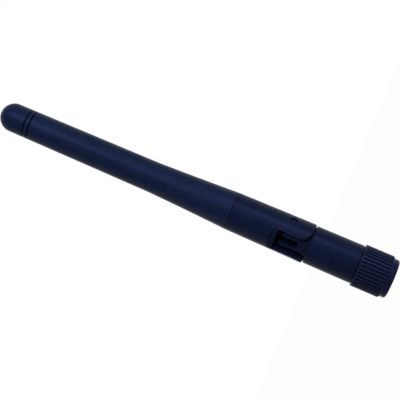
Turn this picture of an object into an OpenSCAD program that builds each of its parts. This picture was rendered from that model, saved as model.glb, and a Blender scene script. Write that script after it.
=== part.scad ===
// Swivel and fold antenna for a 2.4 GHz hand-held transmitter.
// Z runs up the antenna from the mating end of its screw connector. The whip folds towards -Y.

/* [Aerial] */
// Length of each aerial arm, a quarter wave at 2.4 GHz
arm_l = 27; // [24:0.5:34]
// Outer radius of the brass tube that is the lower arm
tube_r = 2.5; // [2.2:0.05:2.6]
// Wall thickness of that tube
tube_wall = 0.25; // [0.2:0.05:0.4]
// Radius of the rod that is the upper arm
rod_r = 0.75; // [0.5:0.05:1]
// Distance between the two arms
feed_gap = 1.3; // [1.2:0.1:2]

/* [Cable] */
// Outer radius of the coaxial cable
cable_r = 0.9; // [0.75:0.05:1.1]
// Radius over its braid
braid_r = 0.67; // [0.6:0.01:0.72]
// Radius over its dielectric
dielectric_r = 0.43; // [0.38:0.01:0.45]
// Radius of its core
core_r = 0.15; // [0.1:0.01:0.2]

/* [Whip] */
// Radius of the whip at its domed tip
tip_r = 3.74; // [3.6:0.01:4]
// Radius of the whip where its flare begins
whip_r = 3.97; // [3.8:0.01:4.3]
// Radius of the whip's foot at the seam with the fork
seam_r = 4.92; // [4.8:0.01:5.2]
// Height of the flare at the foot of the whip
flare_h = 22; // [15:0.1:26]
// Slope of the flare where it begins
flare_slope = 0.033; // [0:0.001:0.04]
// Wall thickness of the whip
whip_wall = 0.95; // [0.8:0.05:1]
// Thickness of the whip at the top of its dome
dome_wall = 1.3; // [1:0.1:1.6]
// Space between the upper arm and the dome
tip_space = 2.85; // [2:0.05:4]
// Distance from the tip to the first fine groove
groove_drop = 7.75; // [6:0.05:9]
// Distance between the two fine grooves
groove_pitch = 1.35; // [1:0.05:2]
// Width of each fine groove
groove_w = 0.5; // [0.2:0.05:0.6]
// Depth of each fine groove
groove_depth = 0.3; // [0.1:0.05:0.35]

/* [Hinge] */
// Radius of the fork at its foot
fork_r = 5.14; // [5:0.01:5.6]
// Height of the fork from its foot to the seam
fork_h = 20.9; // [19:0.1:26]
// Radius of the rounded edge at the fork's foot
foot_round = 0.4; // [0.1:0.05:0.6]
// Width of the slot between the ears
slot_w = 6; // [5:0.05:6.2]
// Radius of the pivot pins
pin_r = 0.95; // [0.8:0.05:1.2]
// Depth of the pins' ends below the ears' faces
pin_recess = 0.2; // [0.05:0.05:0.4]
// Radius of the rounded front corner of each ear
ear_round = 3; // [1:0.1:3.2]
// How far the flat over the slot's mouth passes the slot on each side
flat_side = 0.15; // [0:0.05:0.5]
// Height of that flat
flat_h = 1; // [0.5:0.1:2]
// Height of the slope above it
slope_h = 0.7; // [0.3:0.05:1]
// Thickness of the web between the slot and the hollow above it
web_h = 3.3; // [2:0.1:4]
// Height of the spigot that holds the whip
spigot_h = 5; // [4:0.1:7]
// Wall thickness of the spigot
spigot_wall = 0.85; // [0.7:0.05:1.1]

/* [Swivel body] */
// Radius of the swivel body at its foot
swivel_r = 4.98; // [4.9:0.01:5.3]
// Radius of the swivel body at its shoulder
shoulder_r = 4.91; // [4.8:0.01:5.3]
// Height of the swivel body from its foot to its shoulder
swivel_h = 12.9; // [11.5:0.1:16]
// Height of the pivot over the shoulder
pivot_h = 5.65; // [5.6:0.05:6.2]
// Distance of the pivot in front of the antenna's axis
pivot_offset = 0.5; // [0:0.05:0.7]
// Radius of the shoulder's rounded edge
shoulder_round = 0.3; // [0.1:0.05:0.5]
// Depth of the narrow gap round the fork's foot
rebate_w = 0.4; // [0.2:0.05:0.8]
// Height of that gap
rebate_h = 0.15; // [0.05:0.01:0.3]
// Depth of the groove round the swivel body's foot
foot_groove_w = 0.2; // [0.1:0.05:0.5]
// Height of that groove
foot_groove_h = 0.15; // [0.1:0.01:0.5]
// Depth of the neck from front to back
neck_d = 5.2; // [4.8:0.05:5.4]
// Radius of the neck's rounded corners about its own axis
neck_r = 3.4; // [3.35:0.05:3.6]
// Height of the groove's floor over the shoulder
groove_floor_h = 2.6; // [2:0.1:3.5]

/* [Grip] */
// Radius over the ribs of the grip
grip_r = 5.46; // [5.4:0.01:6.5]
// Height of the grip
grip_h = 9.1; // [8.8:0.05:10]
// Number of ribs round the grip
rib_count = 36; // [20:1:40]
// Depth of the grooves between the ribs
rib_depth = 0.36; // [0.15:0.01:0.4]
// Radius of the tool that leaves each groove
rib_tool_r = 0.3; // [0.15:0.01:0.3]
// Height of the smooth rim over the ribs
rim_h = 0.35; // [0.2:0.05:0.6]
// Radius of the smooth collar at the mating end
collar_r = 5.02; // [4.9:0.01:5.3]
// Height of the collar
collar_h = 1.4; // [0.8:0.05:1.6]
// Radius of the collar's rounded edge
collar_round = 0.6; // [0.3:0.05:0.65]

/* [Coupling nut] */
// Width of the nut across its flats
nut_af = 7.8; // [7.6:0.05:8]
// Radius of the nut over its turned corners
nut_corner_r = 4.15; // [4.1:0.01:4.25]
// Depth of the nut's face in the collar
nut_inset = 0.2; // [0.1:0.05:0.5]
// Height of the nut
nut_h = 7.8; // [7.6:0.1:8]
// Radius of the thread at its crests
thread_r = 2.82; // [2.79:0.01:2.87]
// Length of the thread
thread_l = 3.1; // [2.5:0.1:3.2]
// Radius of the relief behind the thread
relief_r = 3.2; // [3.18:0.01:3.3]

/* [Connector] */
// Radius of the plug's front barrel
plug_r = 2.295; // [2.28:0.005:2.3]
// Length of the plug's front barrel
plug_l = 2.35; // [2.2:0.05:2.5]
// Radius of the body inside the nut
body_r = 2.9; // [2.8:0.05:2.95]
// Radius of the flange between the grip and the swivel body
flange_r = 3.45; // [3.3:0.05:3.75]
// Radius of the rear barrel that the swivel body turns on
barrel_r = 3; // [2.8:0.05:3.2]
// Length of the rear barrel
barrel_l = 6.5; // [6:0.1:8]
// Outer radius of the insulator
insulator_r = 2.05; // [1.9:0.01:2.06]
// Outer radius of the centre contact
contact_r = 0.635; // [0.6:0.005:0.7]
// Radius of the socket in the centre contact
socket_r = 0.47; // [0.46:0.005:0.5]
// Depth of the socket
socket_l = 2.8; // [2:0.1:3]
// Outer radius of the crimp ferrule
ferrule_r = 1.55; // [1.3:0.05:1.7]

/* [Fits] */
// Radial clearance of a joint that turns
turn_gap = 0.04; // [0.02:0.01:0.08]
// Clearance of two pieces pressed or glued together
seat_gap = 0.01; // [0.005:0.005:0.02]
// Clearance between the neck and the slot on every side
neck_gap = 0.1; // [0.08:0.01:0.2]
// Space between the grip and the swivel body
swivel_gap = 0.05; // [0.05:0.01:0.3]
// Radial clearance of the cable in its holes
cable_gap = 0.1; // [0.05:0.01:0.2]

/* [Hidden] */
$fn = 72;
navy = "#1b2440";
brass = "#c8a050";
nickel = "#c9c6bd";
gold = "#d8b24a";
white = "#eceae4";
cable_brown = "#2b1d1b";
// A small amount by which cutting shapes pass the faces that they cut
over = 0.5;

// Chamfers
edge = 0.2;
fine_edge = 0.1;

// Heights of the connector end
nut_z = nut_inset;
nut_top_z = nut_z + nut_h;
thread_mouth = 0.45;
thread_z = nut_z + thread_mouth;
thread_top_z = thread_z + thread_l;
// Distance of the plug's face behind the end of the thread
plug_inset = 0.05;
plug_z = thread_top_z + plug_inset;
plug_top_z = plug_z + plug_l;
gasket_h = 0.45;
gasket_z = plug_top_z - gasket_h;
// Distance of the snap ring's groove from the plug's shoulder
snap_inset = 0.55;
snap_z = plug_top_z + snap_inset;
snap_groove_h = 0.6;
snap_h = 0.5;
snap_groove_depth = 0.35;
snap_space = 0.05;
nut_space = 0.1;
rear_bore_r = body_r + nut_space;
swivel_z = grip_h + swivel_gap;
flange_z = nut_top_z + nut_space;
flange_space = 0.15;
barrel_top_z = swivel_z + barrel_l;

// Clip that holds the swivel body on the rear barrel
clip_groove_depth = 0.4;
clip_groove_h = 0.6;
clip_drop = 2.6;
clip_z = barrel_top_z - clip_drop;
clip_reach = 0.5;
clip_h = 0.45;

// Inside of the connector
insulator_top_z = flange_z + 0.1;
contact_top_z = nut_top_z;
contact_inset = 0.1;
contact_z = plug_z + contact_inset;
contact_collar_r = 1;
contact_collar_h = 0.6;
contact_collar_z = contact_z + socket_l - contact_collar_h;
socket_slit = 0.16;
core_sink = 1;
dielectric_z = insulator_top_z + 0.05;
web_plate = 1.2;
ferrule_z = insulator_top_z + web_plate;
ferrule_l = 5.4;
ferrule_top_z = ferrule_z + ferrule_l;

// Heights of the hinge
shoulder_z = swivel_z + swivel_h;
pivot_z = shoulder_z + pivot_h;
pivot_y = -pivot_offset;
foot_z = shoulder_z;
// The front edge of an ear at the slot
ear_front_y = -sqrt(pow(fork_r, 2) - pow(slot_w / 2, 2));
// The troughs beside the neck clear the ears' rounded corners as they swing about the pivot
sweep_gap = 0.06;
trough_r = ear_round + norm([ear_front_y + ear_round - pivot_y, pivot_h - ear_round]) + sweep_gap;
seam_z = foot_z + fork_h;
neck_w = slot_w - 2 * neck_gap;
slot_root_z = pivot_z + neck_d / 2 + neck_gap;
slot_back_y = pivot_y + neck_d / 2 + neck_gap;
flat_y = -sqrt(pow(fork_r, 2) - pow(slot_w / 2 + flat_side, 2));
hollow_z = slot_root_z + web_h;
spigot_r = seam_r - whip_wall - seat_gap;
hollow_r = spigot_r - spigot_wall;
spigot_top_z = seam_z + spigot_h;
cable_hole_r = cable_r + cable_gap;
groove_floor_z = shoulder_z + groove_floor_h;
ear_face_r = fork_r + (seam_r - fork_r) * (pivot_z - foot_z) / fork_h;
pin_space = 0.1;
pin_in = cable_hole_r + pin_space;
pin_out = sqrt(pow(ear_face_r, 2) - pow(pivot_offset + pin_r, 2)) - pin_recess;
pin_edge = 0.3;

// Inside of the whip
bush_flange_h = 0.6;
tube_z = spigot_top_z + bush_flange_h;
tube_top_z = tube_z + arm_l;
tube_bore_r = tube_r - tube_wall;
ring_h = 0.8;
// Lengths of braid stripped below the tube's end and left above it
strip_drop = 1.4;
braid_rise = 0.25;
jacket_top_z = tube_top_z - strip_drop;
braid_top_z = tube_top_z + braid_rise;
rod_z = tube_top_z + feed_gap;
rod_top_z = rod_z + arm_l;
dielectric_top_z = rod_z;
core_reach = 1.3;
core_top_z = rod_z + core_reach;
bead_h = 3;
whip_top_z = rod_top_z + tip_space + dome_wall;
flare_top_z = seam_z + flare_h;
dome_z = whip_top_z - tip_r;
spacer_h = 3;
spacer_drop = 6;
spacer_z = rod_top_z - spacer_drop;

// Radius of the whip at a distance below the top of its flare
flare_bow = (seam_r - whip_r - flare_slope * flare_h) / pow(flare_h, 2);
function flare_r(drop) = whip_r + flare_slope * drop + flare_bow * pow(drop, 2);
// Radius of the whip over its flare, which tapers to the dome
function taper_r(z) = whip_r + (tip_r - whip_r) * (z - flare_top_z) / (dome_z - flare_top_z);
FLARE_STEPS = 8;
flare_line = [for (i = [FLARE_STEPS:-1:0]) let (drop = flare_h * i / FLARE_STEPS) [flare_r(drop), flare_top_z - drop]];

// A ring from an inner to an outer radius
module ring(inner_r, outer_r, z, h) {
    translate([0, 0, z])
        difference() {
            cylinder(r = outer_r, h = h);
            translate([0, 0, -over]) cylinder(r = inner_r, h = h + 2 * over);
        }
}

// A spring ring with a gap on its +Y side
module spring_ring(inner_r, outer_r, z, h, gap) {
    difference() {
        ring(inner_r, outer_r, z, h);
        translate([-gap / 2, 0, z - over]) cube([gap, outer_r + over, h + 2 * over]);
    }
}

// A stripped length of cable, as [radius, lower end, upper end] of each layer
module cable_run(layers) {
    for (layer = layers)
        translate([0, 0, layer[1]]) cylinder(r = layer[0], h = layer[2] - layer[1]);
}

// A straight hole along the pivot's axis
module pivot_bore(r, length) {
    translate([0, pivot_y, pivot_z]) rotate([0, 90, 0]) cylinder(r = r, h = length, center = true);
}

// A shape drawn in Y and Z, drawn out along X
module along_x(length) {
    rotate([90, 0, 90]) linear_extrude(height = length, center = true) children();
}

// What is cut from an outline to round its upper outer corner
module round_edge(r, z, round_r) {
    translate([r - round_r, z - round_r])
        difference() {
            square(round_r + over);
            circle(r = round_r);
        }
}

// Outline of the grip with its rounded collar and chamfered ribbed part
module grip_outline() {
    difference() {
        polygon([
            [0, 0], [collar_r, 0], [collar_r, collar_h], [grip_r - 2 * edge, collar_h],
            [grip_r, collar_h + 2 * edge], [grip_r, grip_h - fine_edge], [grip_r - fine_edge, grip_h],
            [0, grip_h]
        ]);
        mirror([0, 1]) round_edge(collar_r, 0, collar_round);
    }
}

module grip_sleeve() {
    color(navy)
        difference() {
            rotate_extrude() grip_outline();
            nut_blank(seat_gap, -over, nut_top_z);
            translate([0, 0, nut_top_z - over])
                cylinder(r = flange_r + flange_space, h = grip_h - nut_top_z + 2 * over);
            for (i = [0:rib_count - 1])
                rotate([0, 0, (i + 0.5) * 360 / rib_count - 90])
                    translate([grip_r - rib_depth + rib_tool_r, 0, collar_h - over])
                        cylinder(r = rib_tool_r, h = grip_h - rim_h - collar_h + over);
        }
}

// The hexagon of the nut with its turned corners, grown by a clearance
module nut_blank(gap, bottom_z, top_z) {
    translate([0, 0, bottom_z])
        intersection() {
            cylinder(r = (nut_af / 2 + gap) / cos(30), h = top_z - bottom_z, $fn = 6);
            cylinder(r = nut_corner_r + gap, h = top_z - bottom_z);
        }
}

module coupling_nut() {
    color(brass)
        difference() {
            nut_blank(0, nut_z, nut_top_z);
            translate([0, 0, thread_z - over]) cylinder(r = thread_r, h = thread_l + 2 * over);
            translate([0, 0, nut_z])
                cylinder(r1 = thread_r + thread_mouth, r2 = thread_r, h = thread_mouth);
            translate([0, 0, nut_z - over]) cylinder(r = thread_r + thread_mouth, h = over);
            translate([0, 0, thread_top_z]) cylinder(r = relief_r, h = gasket_z - thread_top_z + 0.1);
            translate([0, 0, gasket_z]) cylinder(r = rear_bore_r, h = nut_top_z - gasket_z + over);
            translate([0, 0, snap_z]) cylinder(r = rear_bore_r + snap_groove_depth, h = snap_groove_h);
        }
}

module nut_snap_ring() {
    color(nickel)
        spring_ring(
            body_r - snap_groove_depth + snap_space, rear_bore_r + snap_groove_depth - snap_space,
            snap_z + snap_space, snap_h, 1
        );
}

module sealing_gasket() {
    color("#b8452e")
        ring(plug_r + seat_gap, body_r, gasket_z, gasket_h);
}

module connector_body() {
    color(gold)
        difference() {
            rotate_extrude()
                polygon([
                    [0, plug_z], [plug_r - edge, plug_z], [plug_r, plug_z + edge], [plug_r, plug_top_z],
                    [body_r, plug_top_z], [body_r, snap_z], [body_r - snap_groove_depth, snap_z],
                    [body_r - snap_groove_depth, snap_z + snap_groove_h], [body_r, snap_z + snap_groove_h],
                    [body_r, flange_z], [flange_r, flange_z], [flange_r, swivel_z], [barrel_r, swivel_z],
                    [barrel_r, clip_z], [barrel_r - clip_groove_depth, clip_z],
                    [barrel_r - clip_groove_depth, clip_z + clip_groove_h], [barrel_r, clip_z + clip_groove_h],
                    [barrel_r, barrel_top_z - edge], [barrel_r - edge, barrel_top_z], [0, barrel_top_z]
                ]);
            translate([0, 0, plug_z - over])
                cylinder(r = insulator_r + seat_gap, h = insulator_top_z - plug_z + over);
            translate([0, 0, insulator_top_z - over])
                cylinder(r = dielectric_r + cable_gap, h = web_plate + 2 * over);
            translate([0, 0, ferrule_z])
                cylinder(r = ferrule_r + seat_gap, h = barrel_top_z - ferrule_z + over);
        }
}

module contact_insulator() {
    color(white)
        difference() {
            translate([0, 0, plug_z]) cylinder(r = insulator_r, h = insulator_top_z - plug_z);
            translate([0, 0, plug_z - over])
                cylinder(r = contact_r + seat_gap, h = insulator_top_z - plug_z + 2 * over);
            translate([0, 0, contact_collar_z - seat_gap])
                cylinder(r = contact_collar_r + seat_gap, h = contact_collar_h + 2 * seat_gap);
        }
}

module centre_contact() {
    color(gold)
        difference() {
            union() {
                translate([0, 0, contact_z]) cylinder(r = contact_r, h = contact_top_z - contact_z);
                translate([0, 0, contact_collar_z]) cylinder(r = contact_collar_r, h = contact_collar_h);
            }
            translate([0, 0, contact_z - over]) cylinder(r = socket_r, h = socket_l + over);
            translate([-socket_slit / 2, -contact_r - over, contact_z - over])
                cube([socket_slit, 2 * (contact_r + over), socket_l * 0.6 + over]);
            translate([0, 0, contact_top_z - core_sink]) cylinder(r = core_r + seat_gap, h = core_sink + over);
        }
}

module crimp_ferrule() {
    color(nickel)
        ring(braid_r + seat_gap, ferrule_r, ferrule_z, ferrule_top_z - ferrule_z);
}

module swivel_clip() {
    color(nickel)
        spring_ring(
            barrel_r - clip_groove_depth + snap_space, barrel_r + clip_reach,
            clip_z + (clip_groove_h - clip_h) / 2, clip_h, 1.2
        );
}

module cable_lower() {
    color(cable_brown)
        cable_run([
            [core_r, contact_top_z - core_sink + 0.05, dielectric_z],
            [dielectric_r, dielectric_z, ferrule_z],
            [braid_r, ferrule_z, ferrule_top_z + 0.1],
            [cable_r, ferrule_top_z + 0.1, groove_floor_z]
        ]);
}

// The round neck with flat cheeks, front and back, rounded over about the pivot
module neck_blank() {
    intersection() {
        translate([0, 0, shoulder_z - over]) cylinder(r = neck_r, h = pivot_h + neck_d + over);
        union() {
            translate([-neck_w / 2, pivot_y - neck_d / 2, shoulder_z - over])
                cube([neck_w, neck_d, pivot_h + over]);
            pivot_bore(neck_d / 2, neck_w);
        }
    }
}

// Outline of the swivel body, with a groove at its foot and a rebate round its shoulder
module swivel_outline() {
    rim_z = shoulder_z - rebate_h;
    inner_r = shoulder_r - rebate_w;
    difference() {
        polygon([
            [0, swivel_z], [swivel_r - foot_groove_w, swivel_z],
            [swivel_r - foot_groove_w, swivel_z + foot_groove_h], [swivel_r - fine_edge, swivel_z + foot_groove_h],
            [swivel_r, swivel_z + foot_groove_h + fine_edge], [shoulder_r, rim_z - shoulder_round],
            [shoulder_r, rim_z], [inner_r, rim_z], [inner_r, shoulder_z], [0, shoulder_z]
        ]);
        round_edge(shoulder_r, rim_z, shoulder_round);
    }
}

module swivel_body() {
    clip_room = 0.1;
    cavity_r = 2.2;
    trough_w = 3;
    cavity_top_z = barrel_top_z + 2.5;
    color(navy)
        difference() {
            union() {
                rotate_extrude() swivel_outline();
                neck_blank();
            }
            // The ears' feet sweep through two shallow troughs beside the neck
            for (side = [-1, 1])
                translate([side * (neck_w + trough_w) / 2, 0, 0]) pivot_bore(trough_r, trough_w);
            translate([0, 0, swivel_z - over])
                cylinder(r = barrel_r + turn_gap, h = barrel_l + 0.2 + over);
            translate([0, 0, clip_z - clip_room])
                cylinder(r = barrel_r + clip_reach + clip_room, h = clip_groove_h + 2 * clip_room);
            translate([0, 0, barrel_top_z]) cylinder(r = cavity_r, h = cavity_top_z - barrel_top_z);
            translate([0, 0, cavity_top_z - over])
                cylinder(r = cable_hole_r, h = groove_floor_z - cavity_top_z + 2 * over);
            translate([0, 0, groove_floor_z]) cylinder(r = cable_hole_r, h = pivot_h + neck_d);
            translate([-cable_hole_r, -neck_r - over, groove_floor_z])
                cube([2 * cable_hole_r, neck_r + over, pivot_h + neck_d]);
            pivot_bore(pin_r + turn_gap, 2 * neck_r);
        }
}

module cable_bend() {
    color(cable_brown)
        cable_run([[cable_r, groove_floor_z, slot_root_z + 0.5]]);
}

// A pivot pin with its outer end a little below the face of the ear
module pivot_pin() {
    color(nickel)
        translate([pin_in, pivot_y, pivot_z])
            rotate([0, 90, 0])
                union() {
                    cylinder(r = pin_r, h = pin_out - pin_in - pin_edge);
                    translate([0, 0, pin_out - pin_in - pin_edge])
                        cylinder(r1 = pin_r, r2 = pin_r - pin_edge, h = pin_edge);
                }
}

module pivot_pin_left() {
    mirror([1, 0, 0]) pivot_pin();
}

module pivot_pin_right() {
    pivot_pin();
}

module hinge_fork() {
    block = 2 * (fork_r + over);
    color(navy)
        difference() {
            union() {
                rotate_extrude()
                    difference() {
                        polygon([
                            [0, foot_z], [fork_r, foot_z], [fork_r, foot_z + foot_round],
                            [seam_r, seam_z - fine_edge], [seam_r - fine_edge, seam_z], [0, seam_z]
                        ]);
                        mirror([0, 1]) round_edge(fork_r, -foot_z, foot_round);
                    }
                translate([0, 0, seam_z - over]) cylinder(r = spigot_r, h = spigot_h + over);
            }
            // The slot is open to the mouth side and shut at the back
            translate([-slot_w / 2, -block / 2, foot_z - over])
                cube([slot_w, block / 2 + slot_back_y, slot_root_z - foot_z + over]);
            // The ears' front corners are rounded, so that they sweep past the shoulder
            along_x(block) rotate(180) round_edge(-ear_front_y, -foot_z, ear_round);
            // A flat over the mouth of the slot, with a slope above it
            along_x(block)
                polygon([
                    [flat_y, slot_root_z - over], [flat_y, slot_root_z + flat_h],
                    [-fork_r, slot_root_z + flat_h + slope_h], [-fork_r - over, slot_root_z + flat_h + slope_h],
                    [-fork_r - over, slot_root_z - over]
                ]);
            pivot_bore(pin_r + seat_gap, block);
            translate([0, 0, slot_root_z - over]) cylinder(r = cable_hole_r, h = web_h + 2 * over);
            translate([0, 0, hollow_z]) cylinder(r = hollow_r, h = spigot_top_z - hollow_z + over);
        }
}

module cable_upper() {
    color(cable_brown)
        cable_run([
            [cable_r, slot_root_z + 0.5, jacket_top_z],
            [braid_r, jacket_top_z, braid_top_z],
            [dielectric_r, braid_top_z, dielectric_top_z],
            [core_r, dielectric_top_z, core_top_z]
        ]);
}

module cable_bush() {
    stem_h = 3;
    nose_h = 2.5;
    color("#3a3d44")
        difference() {
            union() {
                translate([0, 0, spigot_top_z - stem_h]) cylinder(r = hollow_r - seat_gap, h = stem_h);
                translate([0, 0, spigot_top_z]) cylinder(r = spigot_r - edge, h = bush_flange_h);
                translate([0, 0, tube_z]) cylinder(r = tube_bore_r - seat_gap, h = nose_h);
            }
            translate([0, 0, spigot_top_z - stem_h - over])
                cylinder(r = cable_r + seat_gap, h = stem_h + bush_flange_h + nose_h + 2 * over);
        }
}

module dipole_sleeve() {
    color(brass)
        ring(tube_bore_r, tube_r, tube_z, arm_l);
}

module feed_ring() {
    color(brass)
        ring(braid_r + seat_gap, tube_bore_r - seat_gap, tube_top_z - ring_h, ring_h);
}

module feed_bead() {
    color(white)
        difference() {
            translate([0, 0, braid_top_z + seat_gap]) cylinder(r = tube_r, h = bead_h);
            translate([0, 0, braid_top_z]) cylinder(r = dielectric_r + seat_gap, h = bead_h);
            translate([0, 0, rod_z - seat_gap]) cylinder(r = rod_r + seat_gap, h = bead_h);
        }
}

module radiator_rod() {
    color(brass)
        difference() {
            translate([0, 0, rod_z]) cylinder(r = rod_r, h = arm_l);
            translate([0, 0, rod_z - over]) cylinder(r = core_r + seat_gap, h = core_top_z - rod_z + 0.1 + over);
        }
}

module tip_spacer() {
    color("#d9d7cf")
        ring(rod_r + seat_gap, taper_r(spacer_z + spacer_h) - whip_wall - 2 * seat_gap, spacer_z, spacer_h);
}

// Half of the whip's outer section, from its foot to the top of its dome
module whip_outline() {
    polygon(concat(
        [[0, seam_z], [seam_r - fine_edge, seam_z], [seam_r, seam_z + fine_edge]],
        [for (p = flare_line) if (p[1] > seam_z + fine_edge) p],
        [[tip_r, dome_z], [0, dome_z]]
    ));
    intersection() {
        translate([0, dome_z]) circle(r = tip_r);
        translate([0, dome_z - over]) square([tip_r + over, tip_r + 2 * over]);
    }
}

// Half of the whip's hollow, with a straight socket for the spigot at its foot
module whip_hollow() {
    socket_h = spigot_h + bush_flange_h + 0.2;
    inner_tip_r = tip_r - whip_wall;
    inner_dome_z = whip_top_z - dome_wall - inner_tip_r;
    translate([0, seam_z - over]) square([spigot_r + seat_gap, socket_h + over]);
    polygon([
        [0, seam_z + socket_h], [flare_r(flare_h - socket_h) - whip_wall, seam_z + socket_h],
        [whip_r - whip_wall, flare_top_z], [inner_tip_r, inner_dome_z], [0, inner_dome_z]
    ]);
    intersection() {
        translate([0, inner_dome_z]) circle(r = inner_tip_r);
        translate([0, inner_dome_z - over]) square([inner_tip_r + over, inner_tip_r + 2 * over]);
    }
}

module whip_cover() {
    // A circle with this radius leaves a groove of the given width and depth
    tool_r = (pow(groove_w / 2, 2) + pow(groove_depth, 2)) / (2 * groove_depth);
    color(navy)
        rotate_extrude()
            difference() {
                whip_outline();
                whip_hollow();
                for (i = [0, 1])
                    let (z = whip_top_z - groove_drop - i * groove_pitch)
                        translate([taper_r(z) - groove_depth + tool_r, z]) circle(r = tool_r);
            }
}

grip_sleeve();
coupling_nut();
nut_snap_ring();
sealing_gasket();
connector_body();
contact_insulator();
centre_contact();
crimp_ferrule();
swivel_clip();
cable_lower();
swivel_body();
cable_bend();
pivot_pin_left();
pivot_pin_right();
hinge_fork();
cable_upper();
cable_bush();
dipole_sleeve();
feed_ring();
feed_bead();
radiator_rod();
tip_spacer();
whip_cover();
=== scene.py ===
import math

import bpy
from mathutils import Matrix, Vector


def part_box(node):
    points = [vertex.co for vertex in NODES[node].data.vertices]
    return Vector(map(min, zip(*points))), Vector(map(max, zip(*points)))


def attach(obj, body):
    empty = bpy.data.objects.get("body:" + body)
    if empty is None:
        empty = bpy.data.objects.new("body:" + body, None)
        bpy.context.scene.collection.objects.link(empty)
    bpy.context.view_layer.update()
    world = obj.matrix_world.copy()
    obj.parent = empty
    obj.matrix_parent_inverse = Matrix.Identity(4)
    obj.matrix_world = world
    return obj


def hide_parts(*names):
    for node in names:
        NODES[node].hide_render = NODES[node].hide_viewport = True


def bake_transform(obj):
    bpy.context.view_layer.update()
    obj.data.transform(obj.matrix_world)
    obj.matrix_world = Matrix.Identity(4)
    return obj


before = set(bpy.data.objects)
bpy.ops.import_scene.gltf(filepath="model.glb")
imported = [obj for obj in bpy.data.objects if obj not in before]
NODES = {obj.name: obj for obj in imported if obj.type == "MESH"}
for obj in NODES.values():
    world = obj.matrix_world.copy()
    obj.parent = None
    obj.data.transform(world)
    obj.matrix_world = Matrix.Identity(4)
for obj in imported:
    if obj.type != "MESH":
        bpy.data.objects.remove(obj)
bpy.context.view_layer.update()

MM = 0.001


# Camera. The photograph's image axes: the antenna's axis falls to the right by AXIS_TURN, tip at the upper left.
AXIS_TURN = math.atan2(0.393941, 0.919136)
VIEW_TURN = math.radians(33)
TILT = math.radians(7.0)
DISTANCE = 0.252
EYE_HEIGHT = 0.0206
EYE_ASIDE = 0.00065
LENS = 90.7
SENSOR = 36.0

toward_eye = Vector((math.sin(VIEW_TURN), -math.cos(VIEW_TURN), 0))
look = Vector((0, 0, math.sin(TILT))) - toward_eye * math.cos(TILT)
along = -(Vector((0, 0, math.cos(TILT))) + toward_eye * math.sin(TILT))
across = Vector((-math.cos(VIEW_TURN), -math.sin(VIEW_TURN), 0))
right = along * math.cos(AXIS_TURN) - across * math.sin(AXIS_TURN)
down = along * math.sin(AXIS_TURN) + across * math.cos(AXIS_TURN)

camera_data = bpy.data.cameras.new("camera")
camera_data.lens = LENS
camera_data.sensor_width = SENSOR
camera_data.clip_start = 0.01
camera_data.clip_end = 50
camera = bpy.data.objects.new("camera", camera_data)
bpy.context.scene.collection.objects.link(camera)
place = toward_eye * DISTANCE + Vector((0, 0, EYE_HEIGHT)) + across * EYE_ASIDE
turn = Matrix((right, -down, -look)).transposed()
camera.matrix_world = Matrix.Translation(place) @ turn.to_4x4()
bpy.context.scene.camera = camera


# Light: a plain pale world, a large soft key from above the antenna in the picture, a low fill from below it.
def node(tree, kind, **values):
    """Adds a node; a value that is a socket is linked, any other is set on the input of that name."""
    made = tree.nodes.new(kind)
    for name, value in values.items():
        if name in ("operation", "blend_type", "data_type", "noise_dimensions", "samples", "vector_type", "clamp"):
            setattr(made, name, value)
            continue
        key = int(name[1:]) if name[0] == "i" and name[1:].isdigit() else name.replace("_", " ")
        socket = made.inputs[key]
        if isinstance(value, bpy.types.NodeSocket):
            tree.links.new(value, socket)
        else:
            socket.default_value = value
    return made


def seen_directly(tree):
    """1 for camera, glossy and transmission rays, 0 for the light that falls on the object."""
    path = tree.nodes.new("ShaderNodeLightPath")
    both = node(tree, "ShaderNodeMath", operation="MAXIMUM", i0=path.outputs["Is Camera Ray"], i1=path.outputs["Is Glossy Ray"])
    return node(tree, "ShaderNodeMath", operation="MAXIMUM", i0=both.outputs[0], i1=path.outputs["Is Transmission Ray"]).outputs[0]


world = bpy.data.worlds.new("world")
bpy.context.scene.world = world
world.use_nodes = True
tree = world.node_tree
tree.nodes.clear()
light = node(tree, "ShaderNodeBackground", Color=(1, 1, 1, 1), Strength=0.18)
shown = node(tree, "ShaderNodeBackground", Color=(1, 1, 1, 1), Strength=1.0)
mixed = node(tree, "ShaderNodeMixShader", i0=seen_directly(tree), i1=light.outputs[0], i2=shown.outputs[0])
node(tree, "ShaderNodeOutputWorld", Surface=mixed.outputs[0])


def lamp(name, direction, distance, wide, high, power, target=(0, 0, 0.05)):
    data = bpy.data.lights.new(name, "AREA")
    data.shape = "ELLIPSE"
    data.size = wide
    data.size_y = high
    data.energy = power
    made = bpy.data.objects.new(name, data)
    bpy.context.scene.collection.objects.link(made)
    unit = Vector(direction).normalized()
    made.location = Vector(target) + unit * distance
    made.rotation_mode = "QUATERNION"
    made.rotation_quaternion = unit.to_track_quat("Z", "Y")
    return made


def around(degrees, height):
    """A direction turned from the eye's towards the upper side of the antenna in the picture."""
    a = math.radians(degrees)
    return toward_eye * math.cos(a) - across * math.sin(a) + Vector((0, 0, height))


lamp("key", around(17, 0.47), 0.6, 0.34, 0.30, 2.7)
lamp("side", around(45, 0.02), 0.6, 0.26, 0.13, 1.8)
lamp("fill", around(-85, 0.18), 0.6, 0.24, 0.24, 0.3)
lamp("back", around(180, 0.9), 0.6, 0.4, 0.3, 0.5)

scene = bpy.context.scene
scene.view_settings.view_transform = "Standard"


# Floor: white to the eye, with the object's soft shadow kept.
FLOOR_RADIUS = 4.0
FLOOR_DROP = 0.00002


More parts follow.
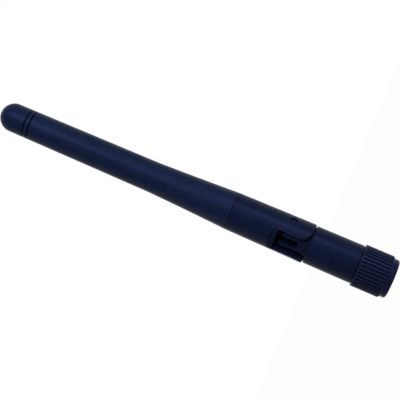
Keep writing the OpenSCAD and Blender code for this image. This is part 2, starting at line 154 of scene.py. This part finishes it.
def floor():
    mesh = bpy.data.meshes.new("floor")
    count = 96
    ring = [(FLOOR_RADIUS * math.cos(2 * math.pi * i / count), FLOOR_RADIUS * math.sin(2 * math.pi * i / count), -FLOOR_DROP) for i in range(count)]
    mesh.from_pydata(ring, [], [tuple(range(count))])
    made = bpy.data.objects.new("floor", mesh)
    scene.collection.objects.link(made)
    material = bpy.data.materials.new("floor_white")
    material.use_nodes = True
    tree = material.node_tree
    tree.nodes.clear()
    cloth = node(tree, "ShaderNodeBsdfDiffuse", Color=(0.92, 0.92, 0.92, 1))
    glow = node(tree, "ShaderNodeEmission", Color=(1, 1, 1, 1), Strength=1.0)
    share = node(tree, "ShaderNodeMath", operation="MULTIPLY", i0=seen_directly(tree), i1=0.97)
    mixed = node(tree, "ShaderNodeMixShader", i0=share.outputs[0], i1=cloth.outputs[0], i2=glow.outputs[0])
    node(tree, "ShaderNodeOutputMaterial", Surface=mixed.outputs[0])
    mesh.materials.append(material)


floor()


# Materials.
def rgb(red, green, blue):
    """A colour given in 0-255 screen values, as Blender's linear numbers."""
    def line(value):
        value /= 255
        return value / 12.92 if value <= 0.04045 else ((value + 0.055) / 1.055) ** 2.4
    return (line(red), line(green), line(blue), 1)


def material(name, **constants):
    made = bpy.data.materials.new(name)
    made.use_nodes = True
    tree = made.node_tree
    bsdf = tree.nodes["Principled BSDF"]
    for key, value in constants.items():
        bsdf.inputs[key.replace("_", " ")].default_value = value
    return made, tree, bsdf


def place_of(tree, stretch=(1, 1, 1)):
    """The point in the part's own frame, in metres, scaled along each axis."""
    point = tree.nodes.new("ShaderNodeTexCoord").outputs["Object"]
    if stretch == (1, 1, 1):
        return point
    return node(tree, "ShaderNodeMapping", vector_type="POINT", Vector=point, Scale=stretch).outputs[0]


def noise(tree, scale, detail=2.0, rough=0.5, at=None):
    return node(tree, "ShaderNodeTexNoise", Vector=at or place_of(tree), Scale=scale, Detail=detail, Roughness=rough).outputs[0]


def spread(tree, value, low, high, start=0.3, end=0.7):
    return node(tree, "ShaderNodeMapRange", i0=value, i1=start, i2=end, i3=low, i4=high).outputs[0]


def mix(tree, factor, first, second, kind="MIX"):
    made = node(tree, "ShaderNodeMix", data_type="RGBA", blend_type=kind, i0=factor)
    for index, value in ((6, first), (7, second)):
        if isinstance(value, bpy.types.NodeSocket):
            tree.links.new(value, made.inputs[index])
        else:
            made.inputs[index].default_value = value
    return made.outputs[2]


def bump(tree, height, depth, strength=1.0, normal=None):
    made = node(tree, "ShaderNodeBump", Height=height, Distance=depth, Strength=strength)
    if normal is not None:
        tree.links.new(normal, made.inputs["Normal"])
    return made.outputs[0]


def edges(tree, radius):
    """About 1 on edges sharper than the radius, 0 on plain faces."""
    soft = node(tree, "ShaderNodeBevel", samples=6, Radius=radius).outputs[0]
    plain = tree.nodes.new("ShaderNodeNewGeometry").outputs["Normal"]
    dot = node(tree, "ShaderNodeVectorMath", operation="DOT_PRODUCT", i0=soft, i1=plain).outputs["Value"]
    return spread(tree, dot, 1.0, 0.0, 0.80, 0.985)


def painted_rib_shading(tree, low, high):
    """Painted light on the grip's ribs: 0 (painted shade) at the bottom of each groove to 1 (painted highlight) on the
    tops of its ribs, by the distance from the antenna's axis.
    """
    flat = node(tree, "ShaderNodeVectorMath", operation="MULTIPLY", i0=place_of(tree), i1=(1, 1, 0)).outputs[0]
    out = node(tree, "ShaderNodeVectorMath", operation="LENGTH", i0=flat).outputs["Value"]
    return spread(tree, out, 0.0, 1.0, low * MM, high * MM)


def painted_shade_rings(tree, heights, reach):
    """Mask of painted shade: 1 on the fine groove and part-joint lines at the given heights in millimetres, 0 beyond
    their edges.
    """
    z = node(tree, "ShaderNodeSeparateXYZ", i0=place_of(tree)).outputs[2]
    total = None
    for height in heights:
        off = node(tree, "ShaderNodeMath", operation="SUBTRACT", i0=z, i1=height * MM).outputs[0]
        off = node(tree, "ShaderNodeMath", operation="ABSOLUTE", i0=off).outputs[0]
        one = spread(tree, off, 1.0, 0.0, 0.5 * reach * MM, reach * MM)
        total = one if total is None else node(tree, "ShaderNodeMath", operation="MAXIMUM", i0=total, i1=one).outputs[0]
    return total


def below(tree, height):
    """1 below the given height in millimetres, 0 above it."""
    z = node(tree, "ShaderNodeSeparateXYZ", i0=place_of(tree)).outputs[2]
    return spread(tree, z, 1.0, 0.0, (height - 0.1) * MM, (height + 0.1) * MM)


def moulded(name, base, worn, rough, specular, grain=0.16, depth=0.010, tint=(0.5, 0.65, 1, 1), ribs=None, painted_shade_at=(), wave=0.03):
    """Moulded plastic: spark-eroded grain, slow colour drift, paler rubbed edges, painted highlight on rib tops with
    painted shade between them, painted shade in each given groove and joint.
    """
    made, tree, bsdf = material(name, Specular_IOR_Level=specular, Specular_Tint=tint)
    drift = noise(tree, 90, 3)
    cloud = noise(tree, 800, 3, 0.6)
    speck = noise(tree, 2600, 2)
    colour = mix(tree, spread(tree, drift, 0.0, 1.0), tuple(0.74 * c for c in base[:3]) + (1,), tuple(1.06 * c for c in base[:3]) + (1,))
    colour = mix(tree, spread(tree, cloud, 0.0, 0.5), colour, tuple(k * c for k, c in zip((2.3, 1.7, 1.3), base[:3])) + (1,))
    colour = mix(tree, spread(tree, speck, 0.0, 0.5, 0.45, 0.75), colour, tuple(k * c for k, c in zip((3.2, 2.4, 1.7), base[:3])) + (1,))
    # Painted light on the ribbed grip: the rib tops are painted paler as a highlight, and the ribbing's bottoms keep
    # the darker base as painted shade. The collar below 1.5 mm gets a plain navy of its own instead, and a lower
    # roughness.
    if ribs is not None:
        colour = mix(tree, painted_rib_shading(tree, *ribs[0]), colour, ribs[1])
        collar_band = below(tree, 1.5)
        colour = mix(tree, collar_band, colour, rgb(14, 19, 44))
    reach = 0.12 * MM if ribs is None else 0.03 * MM
    rub = node(tree, "ShaderNodeMath", operation="MULTIPLY", i0=edges(tree, reach), i1=spread(tree, noise(tree, 700, 3), 0.15, 0.85)).outputs[0]
    colour = mix(tree, rub, colour, worn)
    # Painted shade: near-black navy rings at the given groove and part-joint heights.
    if painted_shade_at:
        colour = mix(tree, painted_shade_rings(tree, *painted_shade_at), colour, rgb(2, 6, 24))
    tree.links.new(colour, bsdf.inputs["Base Color"])
    gloss = spread(tree, noise(tree, 620, 4), rough - 0.02, rough + 0.05, 0.2, 0.8)
    gloss = node(tree, "ShaderNodeMath", operation="SUBTRACT", i0=gloss, i1=node(tree, "ShaderNodeMath", operation="MULTIPLY", i0=rub, i1=0.14).outputs[0]).outputs[0]
    if ribs is not None:
        gloss = node(tree, "ShaderNodeMath", operation="SUBTRACT", i0=gloss, i1=node(tree, "ShaderNodeMath", operation="MULTIPLY", i0=collar_band, i1=0.07).outputs[0]).outputs[0]
    tree.links.new(gloss, bsdf.inputs["Roughness"])
    fine = noise(tree, 1 / (grain * MM), 3, 0.6)
    slow = noise(tree, 520, 3)
    relief = bump(tree, slow, wave * MM, 0.5)
    tree.links.new(bump(tree, fine, depth * MM, 1.0, relief), bsdf.inputs["Normal"])
    return made


def turned(name, base, dull, rough, metallic=1.0, rings=True, depth=0.003, specular=0.5):
    """Turned or drawn metal: fine tool lines, slight tarnish, brighter edges."""
    made, tree, bsdf = material(name, Metallic=metallic, Specular_IOR_Level=specular)
    lines = place_of(tree, (150, 150, 14000) if rings else (9000, 9000, 160))
    tool = noise(tree, 1.0, 3, 0.6, lines)
    stain = spread(tree, noise(tree, 420, 4, 0.6), 0.0, 1.0, 0.35, 0.75)
    colour = mix(tree, stain, base, dull)
    bright = tuple(min(1.0, 1.25 * c) for c in base[:3]) + (1,)
    colour = mix(tree, node(tree, "ShaderNodeMath", operation="MULTIPLY", i0=edges(tree, 0.06 * MM), i1=0.6).outputs[0], colour, bright)
    tree.links.new(colour, bsdf.inputs["Base Color"])
    tree.links.new(spread(tree, tool, rough - 0.06, rough + 0.10), bsdf.inputs["Roughness"])
    tree.links.new(bump(tree, tool, depth * MM, 0.8), bsdf.inputs["Normal"])
    return made


NAVY = rgb(9, 19, 43)
NAVY_WORN = rgb(44, 54, 84)
looks = {
    "navy_whip": moulded("navy_whip", NAVY, NAVY_WORN, 0.33, 0.06, depth=0.014, tint=(0.32, 0.40, 1, 1), painted_shade_at=((100.25, 98.90), 0.38)),
    "navy_hinge": moulded("navy_hinge", rgb(7, 14, 36), NAVY_WORN, 0.34, 0.06, 0.14, tint=(0.28, 0.38, 1, 1), painted_shade_at=((42.95, 21.98, 9.2), 0.16)),
    # navy_grip: painted highlight on its rib tops, painted shade between them and at its joint to the swivel body.
    "navy_grip": moulded("navy_grip", rgb(5, 9, 27), NAVY_WORN, 0.28, 0.07, 0.14, depth=0.002, tint=(0.29, 0.40, 1, 1), ribs=((5.28, 5.44), rgb(20, 27, 50)), painted_shade_at=((9.12,), 0.16), wave=0.004),
    "grey_plastic": moulded("grey_plastic", rgb(48, 50, 55), rgb(86, 88, 92), 0.55, 0.3),
    "nickel": turned("nickel", rgb(172, 168, 160), rgb(128, 122, 112), 0.26),
    "spring_steel": turned("spring_steel", rgb(122, 122, 124), rgb(88, 84, 82), 0.32, rings=False),
    "gold": turned("gold", rgb(214, 172, 92), rgb(170, 128, 62), 0.22),
    "brass": turned("brass", rgb(196, 160, 92), rgb(132, 100, 56), 0.30, rings=False),
    "dark_pin": turned("dark_pin", rgb(16, 21, 42), rgb(7, 10, 24), 0.6, metallic=0.0, specular=0.05),
}


def waxy():
    """White fluoroplastic: waxy, a little light under the surface, faint tool rings."""
    made, tree, bsdf = material("white_plastic", Specular_IOR_Level=0.4, Subsurface_Weight=0.25, Subsurface_Scale=0.0006)
    cloud = spread(tree, noise(tree, 500, 3), 0.0, 1.0)
    tree.links.new(mix(tree, cloud, rgb(226, 224, 216), rgb(210, 206, 196)), bsdf.inputs["Base Color"])
    tool = noise(tree, 1.0, 2, 0.5, place_of(tree, (200, 200, 9000)))
    tree.links.new(spread(tree, tool, 0.30, 0.45), bsdf.inputs["Roughness"])
    tree.links.new(bump(tree, tool, 0.003 * MM, 0.6), bsdf.inputs["Normal"])
    return made


def rubber():
    """Red silicone: dull, finely pitted, dusty on its edges."""
    made, tree, bsdf = material("silicone", Specular_IOR_Level=0.35)
    dust = node(tree, "ShaderNodeMath", operation="MULTIPLY", i0=edges(tree, 0.1 * MM), i1=0.5).outputs[0]
    tone = mix(tree, spread(tree, noise(tree, 900, 4), 0.0, 1.0), rgb(152, 48, 36), rgb(128, 38, 30))
    tree.links.new(mix(tree, dust, tone, rgb(176, 96, 84)), bsdf.inputs["Base Color"])
    pits = noise(tree, 9000, 2)
    tree.links.new(spread(tree, pits, 0.6, 0.75), bsdf.inputs["Roughness"])
    tree.links.new(bump(tree, pits, 0.006 * MM, 0.7), bsdf.inputs["Normal"])
    return made


def jacket():
    """Thin coaxial cable: a clear brown jacket over braid, whose weave shows faintly through it."""
    made, tree, bsdf = material("cable_jacket", Specular_IOR_Level=0.05)
    weave = node(tree, "ShaderNodeTexVoronoi", Vector=place_of(tree, (1, 1, 0.6)), Scale=4200).outputs["Distance"]
    tone = mix(tree, spread(tree, weave, 0.0, 1.0, 0.1, 0.6), rgb(26, 21, 24), rgb(14, 13, 17))
    tone = mix(tree, spread(tree, noise(tree, 350, 3), 0.0, 0.5), tone, rgb(30, 23, 24))
    tree.links.new(tone, bsdf.inputs["Base Color"])
    tree.links.new(spread(tree, noise(tree, 800, 3), 0.44, 0.56), bsdf.inputs["Roughness"])
    tree.links.new(bump(tree, weave, 0.008 * MM, 0.5), bsdf.inputs["Normal"])
    return made


looks["white_plastic"] = waxy()
looks["silicone"] = rubber()
looks["cable_jacket"] = jacket()

LOOK_OF = {
    "whip_cover": "navy_whip", "hinge_fork": "navy_hinge", "swivel_body": "navy_hinge", "grip_sleeve": "navy_grip",
    "coupling_nut": "nickel", "crimp_ferrule": "nickel", "nut_snap_ring": "spring_steel", "swivel_clip": "spring_steel",
    "sealing_gasket": "silicone", "connector_body": "gold", "centre_contact": "gold", "contact_insulator": "white_plastic",
    "cable_lower": "cable_jacket", "cable_bend": "cable_jacket", "cable_upper": "cable_jacket",
    "pivot_pin_left": "dark_pin", "pivot_pin_right": "dark_pin", "cable_bush": "grey_plastic",
    "dipole_sleeve": "brass", "feed_ring": "brass", "radiator_rod": "brass",
    "feed_bead": "white_plastic", "tip_spacer": "white_plastic",
}
for name, look_name in LOOK_OF.items():
    slots = NODES[name].data.materials
    slots.clear()
    slots.append(looks[look_name])


def mesh_piece(name, points, faces, look_name, smooth_angle=35):
    mesh = bpy.data.meshes.new(name)
    mesh.from_pydata(points, [], faces)
    mesh.validate()
    mesh.shade_smooth()
    mesh.set_sharp_from_angle(angle=math.radians(smooth_angle))
    mesh.materials.append(looks[look_name])
    made = bpy.data.objects.new(name, mesh)
    scene.collection.objects.link(made)
    return made


# The cable where it crosses the hinge: a dense tube.
def hinge_cable():
    low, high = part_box("cable_bend")
    radius = (high.x - low.x) / 2
    rings, sides = 80, 40
    points, faces = [], []
    for i in range(rings + 1):
        z = low.z + (high.z - low.z) * i / rings
        for k in range(sides):
            a = 2 * math.pi * k / sides
            points.append((radius * math.cos(a), radius * math.sin(a), z))
    for i in range(rings):
        for k in range(sides):
            a, b = i * sides + k, i * sides + (k + 1) % sides
            faces.append((a, b, b + sides, a + sides))
    faces.append(tuple(reversed(range(sides))))
    faces.append(tuple(rings * sides + k for k in range(sides)))
    made = mesh_piece("hinge_cable", points, faces, "cable_jacket")
    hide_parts("cable_bend")
    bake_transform(made)


hinge_cable()


# The coupling nut with its real screw thread: rings of points stacked along the axis, closed back on themselves.
def threaded_nut():
    low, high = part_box("coupling_nut")
    sides = 144
    pitch, crest, root = 25.4 / 36, 2.82, 3.12
    mouth, thread_end = 0.45, 3.55
    flat, corner, bevel = 3.9, 4.15, 0.1
    bottom, top = low.z / MM, high.z / MM

    def thread(z, a):
        turn = ((z / pitch - a / (2 * math.pi)) % 1.0) - 0.5
        depth = min(1.0, max(0.0, (0.375 - abs(turn)) / 0.3125))
        return max(crest + (root - crest) * depth, crest + mouth - (z - bottom))

    def hexagon(a, cut):
        off = (a + math.pi / 6) % (math.pi / 3) - math.pi / 6
        off = math.pi / 6 - abs(off)
        return min(flat / math.cos(off), corner) - cut

    rows = 80
    heights = [bottom + thread_end * i / rows for i in range(rows + 1)]
    rings = [(z, lambda a, z=z: thread(z, a)) for z in heights]
    plain = [(bottom + thread_end, 3.2), (5.8, 3.2), (5.8, 3.0), (6.7, 3.0), (6.7, 3.35), (7.3, 3.35), (7.3, 3.0), (top, 3.0)]
    rings += [(z, lambda a, r=r: r) for z, r in plain]
    rings += [(top, lambda a: hexagon(a, bevel)), (top - bevel, lambda a: hexagon(a, 0)),
              (bottom + bevel, lambda a: hexagon(a, 0)), (bottom, lambda a: hexagon(a, bevel))]
    points, faces = [], []
    for z, radius in rings:
        for k in range(sides):
            a = 2 * math.pi * k / sides
            points.append((radius(a) * math.cos(a) * MM, radius(a) * math.sin(a) * MM, z * MM))
    for i in range(len(rings)):
        for k in range(sides):
            a, b = i * sides + k, i * sides + (k + 1) % sides
            c, d = ((i + 1) % len(rings)) * sides + (k + 1) % sides, ((i + 1) % len(rings)) * sides + k
            faces.append((a, d, c, b))
    made = mesh_piece("threaded_nut", points, faces, "nickel")
    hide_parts("coupling_nut")
    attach(made, "grip")


threaded_nut()
